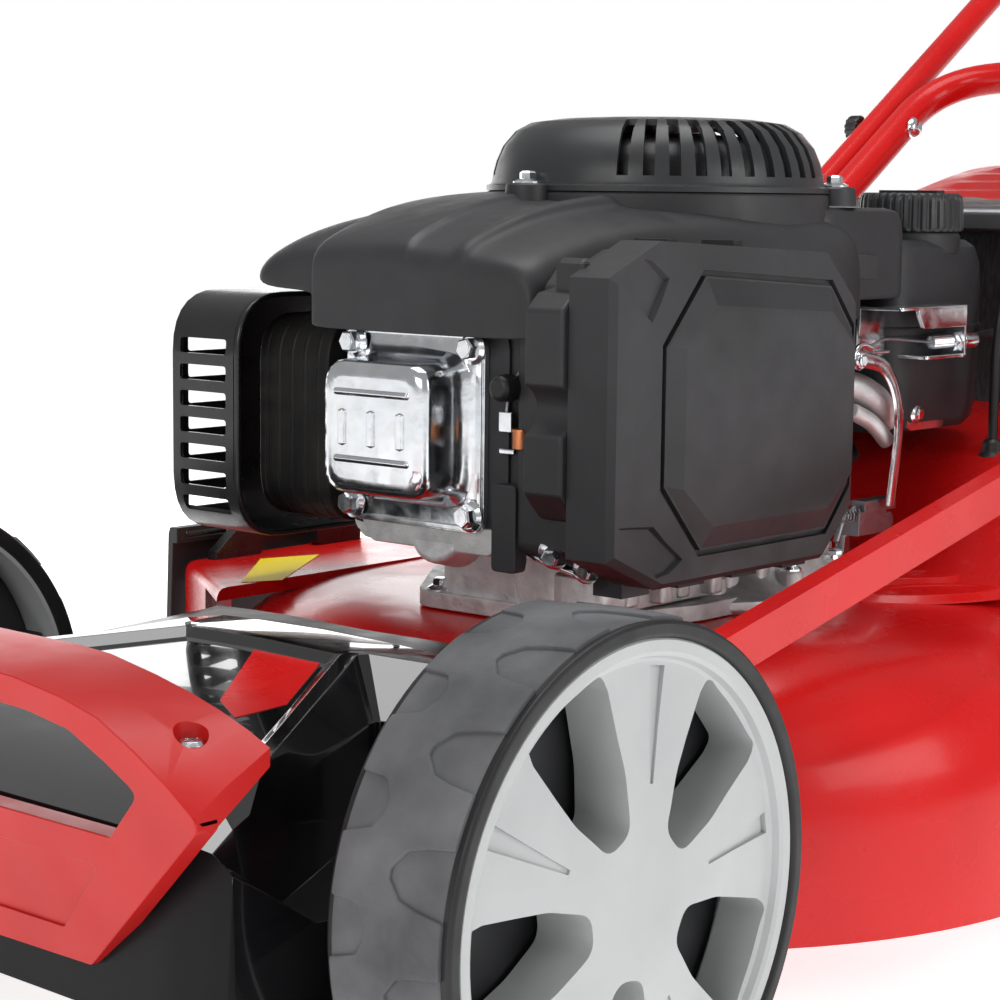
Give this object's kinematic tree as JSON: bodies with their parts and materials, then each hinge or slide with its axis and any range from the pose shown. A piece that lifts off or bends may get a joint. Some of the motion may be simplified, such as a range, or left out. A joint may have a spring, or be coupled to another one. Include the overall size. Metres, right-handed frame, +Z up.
{
  "type": "push lawn mower",
  "caption": "Petrol rotary lawn mower with pressed deck, finned engine, folding tube handle, height linkage, side flap and rear grass bag.",
  "frame": {"origin": "middle of the bounding box on the ground, under the mower", "axes": "+X to the mower's left, +Y towards the operator, +Z up; the mower drives towards -Y"},
  "size_m": [0.558, 1.7628, 1.0098],
  "materials": {
    "red_paint": "gloss powder coat",
    "red_plastic": "semi-gloss moulded",
    "black_gloss": "high gloss moulded",
    "black_plastic": "fine spark-eroded texture",
    "black_paint": "satin heat-resistant paint",
    "tyre_rubber": "matte",
    "wheel_grey": "satin moulded",
    "cast_aluminium": "cast, satin",
    "zinc_plate": "bright zinc",
    "steel": "satin",
    "cable_sheath": "satin",
    "filter_paper": "matte",
    "bag_fabric": "coarse weave"
  },
  "bodies": {
    "chassis": {"deck_shell": "red_paint", "front_fairing": "black_gloss", "front_handle": "red_plastic", "handle_bracket_left": "red_paint", "handle_bracket_right": "red_paint", "engine_base": "cast_aluminium", "cylinder_block": "cast_aluminium", "valve_cover": "zinc_plate", "valve_cover_bolt_1": "zinc_plate", "valve_cover_bolt_2": "zinc_plate", "valve_cover_bolt_3": "zinc_plate", "valve_cover_bolt_4": "zinc_plate", "blower_housing": "black_plastic", "recoil_cover": "black_plastic", "muffler": "steel", "muffler_guard": "black_paint", "air_filter_base": "black_plastic", "air_filter_element": "filter_paper", "fuel_tank": "black_plastic", "carburettor": "cast_aluminium", "spark_plug": "black_plastic", "cable_bracket": "zinc_plate", "lower_handle": "red_paint", "brake_cable": "cable_sheath", "drive_cable": "cable_sheath", "drive_belt": "cable_sheath", "grass_bag": "bag_fabric", "grass_bag_lid": "black_plastic"},
    "rear_axle": {"rear_axle": "steel", "height_lever": "steel", "gearbox": "cast_aluminium"},
    "front_axle": {"front_axle": "steel"},
    "height_link": {"height_link": "red_paint"},
    "front_left_wheel": {"front_rim_left": "wheel_grey", "front_tyre_left": "tyre_rubber"},
    "front_right_wheel": {"front_rim_right": "wheel_grey", "front_tyre_right": "tyre_rubber"},
    "rear_left_wheel": {"rear_rim_left": "wheel_grey", "rear_tyre_left": "tyre_rubber"},
    "rear_right_wheel": {"rear_rim_right": "wheel_grey", "rear_tyre_right": "tyre_rubber"},
    "gearbox_pulley": {"gearbox_pulley": "steel"},
    "crank": {"crankshaft": "steel", "flywheel": "cast_aluminium", "blade_adapter": "steel", "blade": "steel", "blade_bolt": "steel"},
    "starter_pulley": {"starter_pulley": "black_plastic"},
    "starter_grip": {"starter_grip": "black_plastic"},
    "upper_handle": {"upper_handle": "red_paint"},
    "fold_knob_left": {"fold_knob_left": "black_plastic"},
    "fold_knob_right": {"fold_knob_right": "black_plastic"},
    "brake_bail": {"brake_bail": "red_paint"},
    "drive_bail": {"drive_bail": "black_plastic"},
    "discharge_flap": {"discharge_flap": "black_plastic"},
    "rear_flap": {"rear_flap": "red_plastic"},
    "air_filter_cover": {"air_filter_cover": "black_plastic"},
    "fuel_cap": {"fuel_cap": "black_plastic"},
    "dipstick": {"dipstick": "black_plastic"},
    "governor_lever": {"governor_lever": "zinc_plate"}
  },
  "joints": [
    {"name": "height_adjust", "type": "hinge", "parent": "chassis", "child": "rear_axle", "pos_m": [0, -0.12239, 0.14], "axis": [-1, 0, 0], "range_deg": [0, 20.25], "deforming": ["drive_belt"]},
    {"name": "front_axle_turn", "type": "hinge", "parent": "chassis", "child": "front_axle", "pos_m": [0, -0.72429, 0.096], "axis": [-1, 0, 0], "range_deg": [0, 60]},
    {"name": "height_link_turn", "type": "hinge", "parent": "front_axle", "child": "height_link", "pos_m": [0.198, -0.74679, 0.13497], "axis": [-1, 0, 0], "range_deg": [-60, 0]},
    {"name": "front_left_wheel_spin", "type": "hinge", "parent": "front_axle", "child": "front_left_wheel", "pos_m": [0.2418, -0.69139, 0.115], "axis": [1, 0, 0], "continuous": true},
    {"name": "front_right_wheel_spin", "type": "hinge", "parent": "front_axle", "child": "front_right_wheel", "pos_m": [-0.2418, -0.69139, 0.115], "axis": [1, 0, 0], "continuous": true},
    {"name": "rear_left_wheel_spin", "type": "hinge", "parent": "rear_axle", "child": "rear_left_wheel", "pos_m": [0.2515, -0.01139, 0.127], "axis": [1, 0, 0], "continuous": true},
    {"name": "rear_right_wheel_spin", "type": "hinge", "parent": "rear_axle", "child": "rear_right_wheel", "pos_m": [-0.2515, -0.01139, 0.127], "axis": [1, 0, 0], "continuous": true},
    {"name": "blade_spin", "type": "hinge", "parent": "chassis", "child": "crank", "pos_m": [0, -0.33039, 0.06], "axis": [0, 0, 1], "continuous": true},
    {"name": "gearbox_pulley_spin", "type": "hinge", "parent": "rear_axle", "child": "gearbox_pulley", "pos_m": [0, -0.01139, 0.084], "axis": [0, 0, 1], "continuous": true},
    {"name": "starter_pull", "type": "slide", "parent": "chassis", "child": "starter_grip", "axis": [0, 0.8486, 0.5291], "range_m": [0, 0.6], "stiffness_N_per_m": 8, "springref_m": -1},
    {"name": "starter_pulley_spin", "type": "hinge", "parent": "chassis", "child": "starter_pulley", "pos_m": [0, -0.33039, 0.408], "axis": [0, 0, 1], "range_deg": [0, 525]},
    {"name": "handle_fold", "type": "hinge", "parent": "chassis", "child": "upper_handle", "pos_m": [0, 0.23561, 0.449], "axis": [1, 0, 0], "range_deg": [0, 130], "deforming": ["brake_cable", "drive_cable"]},
    {"name": "fold_knob_left_turn", "type": "hinge", "parent": "upper_handle", "child": "fold_knob_left", "pos_m": [0.235, 0.23561, 0.449], "axis": [1, 0, 0], "range_deg": [0, 360]},
    {"name": "fold_knob_right_turn", "type": "hinge", "parent": "upper_handle", "child": "fold_knob_right", "pos_m": [-0.235, 0.23561, 0.449], "axis": [-1, 0, 0], "range_deg": [0, 360]},
    {"name": "brake_bail_squeeze", "type": "hinge", "parent": "upper_handle", "child": "brake_bail", "pos_m": [0, 0.75961, 0.895], "axis": [-1, 0, 0], "range_deg": [0, 26], "stiffness_Nm_per_rad": 1.5, "springref_deg": -28.65},
    {"name": "drive_bail_squeeze", "type": "hinge", "parent": "upper_handle", "child": "drive_bail", "pos_m": [0, 0.73861, 0.874], "axis": [1, 0, 0], "range_deg": [0, 14], "stiffness_Nm_per_rad": 1.5, "springref_deg": -28.65},
    {"name": "discharge_flap_lift", "type": "hinge", "parent": "chassis", "child": "discharge_flap", "pos_m": [-0.265, -0.39139, 0.183], "axis": [0, 1, 0], "range_deg": [0, 80], "stiffness_Nm_per_rad": 0.5, "springref_deg": -34.38},
    {"name": "rear_flap_lift", "type": "hinge", "parent": "chassis", "child": "rear_flap", "pos_m": [0, -0.07739, 0.383], "axis": [1, 0, 0], "range_deg": [0, 50], "stiffness_Nm_per_rad": 1, "springref_deg": -34.38},
    {"name": "air_filter_cover_tilt", "type": "hinge", "parent": "chassis", "child": "air_filter_cover", "pos_m": [0.101, -0.46139, 0.203], "axis": [0, 1, 0], "range_deg": [0, 35], "stiffness_Nm_per_rad": 1, "springref_deg": -68.75},
    {"name": "fuel_cap_turn", "type": "hinge", "parent": "chassis", "child": "fuel_cap", "pos_m": [0.062, -0.15739, 0.38], "axis": [0, 0, 1], "range_deg": [0, 120]},
    {"name": "dipstick_turn", "type": "hinge", "parent": "chassis", "child": "dipstick", "pos_m": [-0.138, -0.29539, 0.33], "axis": [0, 0, 1], "range_deg": [0, 90]},
    {"name": "governor_lever_turn", "type": "hinge", "parent": "chassis", "child": "governor_lever", "pos_m": [0.095, -0.31139, 0.3], "axis": [1, 0, 0], "range_deg": [-6, 10], "stiffness_Nm_per_rad": 0.3}
  ],
  "couplings": [
    {"joint": "front_axle_turn", "follows": "height_adjust", "ratio": 2.96},
    {"joint": "height_link_turn", "follows": "height_adjust", "ratio": -2.96},
    {"joint": "gearbox_pulley_spin", "follows": "blade_spin", "ratio": 0.771},
    {"joint": "starter_pulley_spin", "follows": "starter_pull", "rad_per_m": 15.15}
  ]
}
